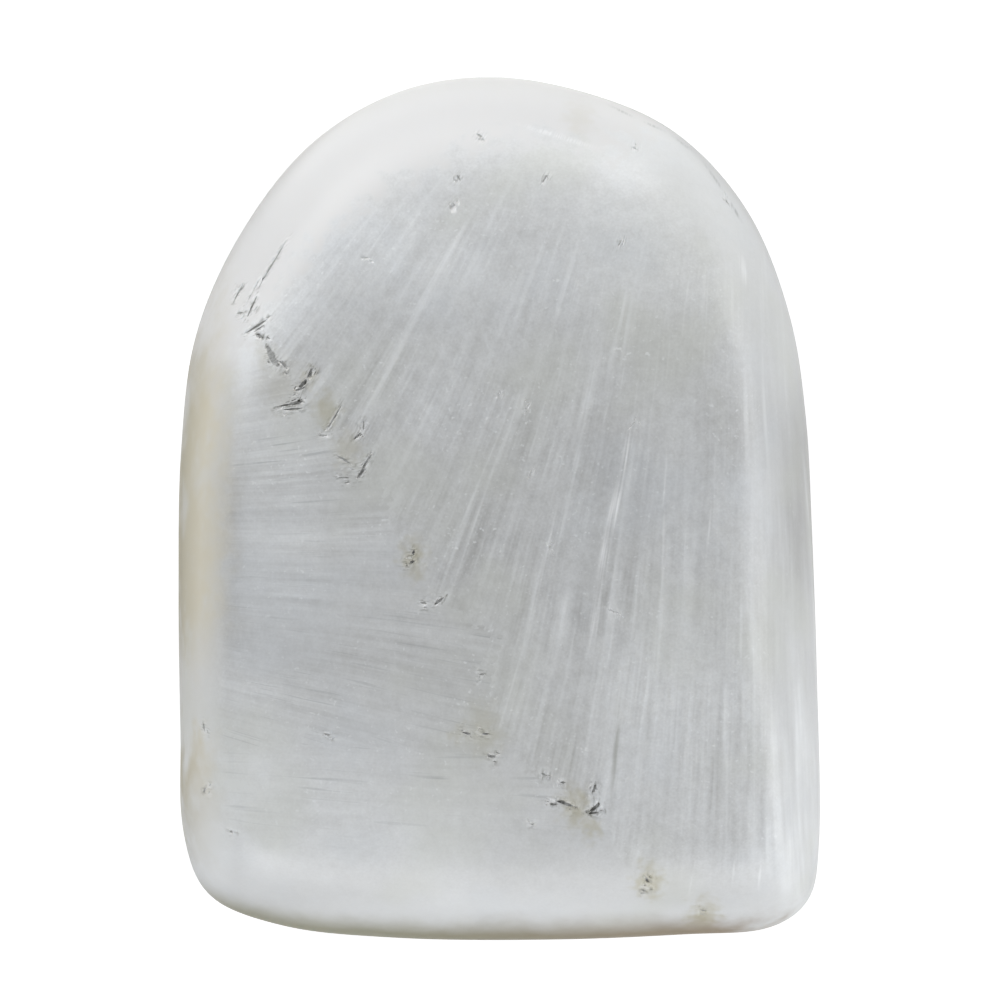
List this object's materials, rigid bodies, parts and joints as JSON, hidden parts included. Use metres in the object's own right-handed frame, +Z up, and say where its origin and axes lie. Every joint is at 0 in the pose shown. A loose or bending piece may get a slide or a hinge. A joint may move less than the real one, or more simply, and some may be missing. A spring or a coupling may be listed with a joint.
{
  "type": "scolecite palm stone",
  "caption": "Polished palm stone of white fibrous scolecite, with an arched end, a nearly straight end and rolled edges, modelled with a flat back to lie on.",
  "frame": {"origin": "on the plane the stone rests on, under the middle of its bounding box", "axes": "+Y towards the arched end, along the length; +Z up, out of the polished face; +X to the right as seen from above with the arched end away"},
  "size_m": [0.0482, 0.065, 0.024],
  "materials": {
    "scolecite": "silky polish, slightly translucent, with fine radiating fibres"
  },
  "bodies": {
    "root": {"stone": "scolecite"}
  },
  "joints": []
}
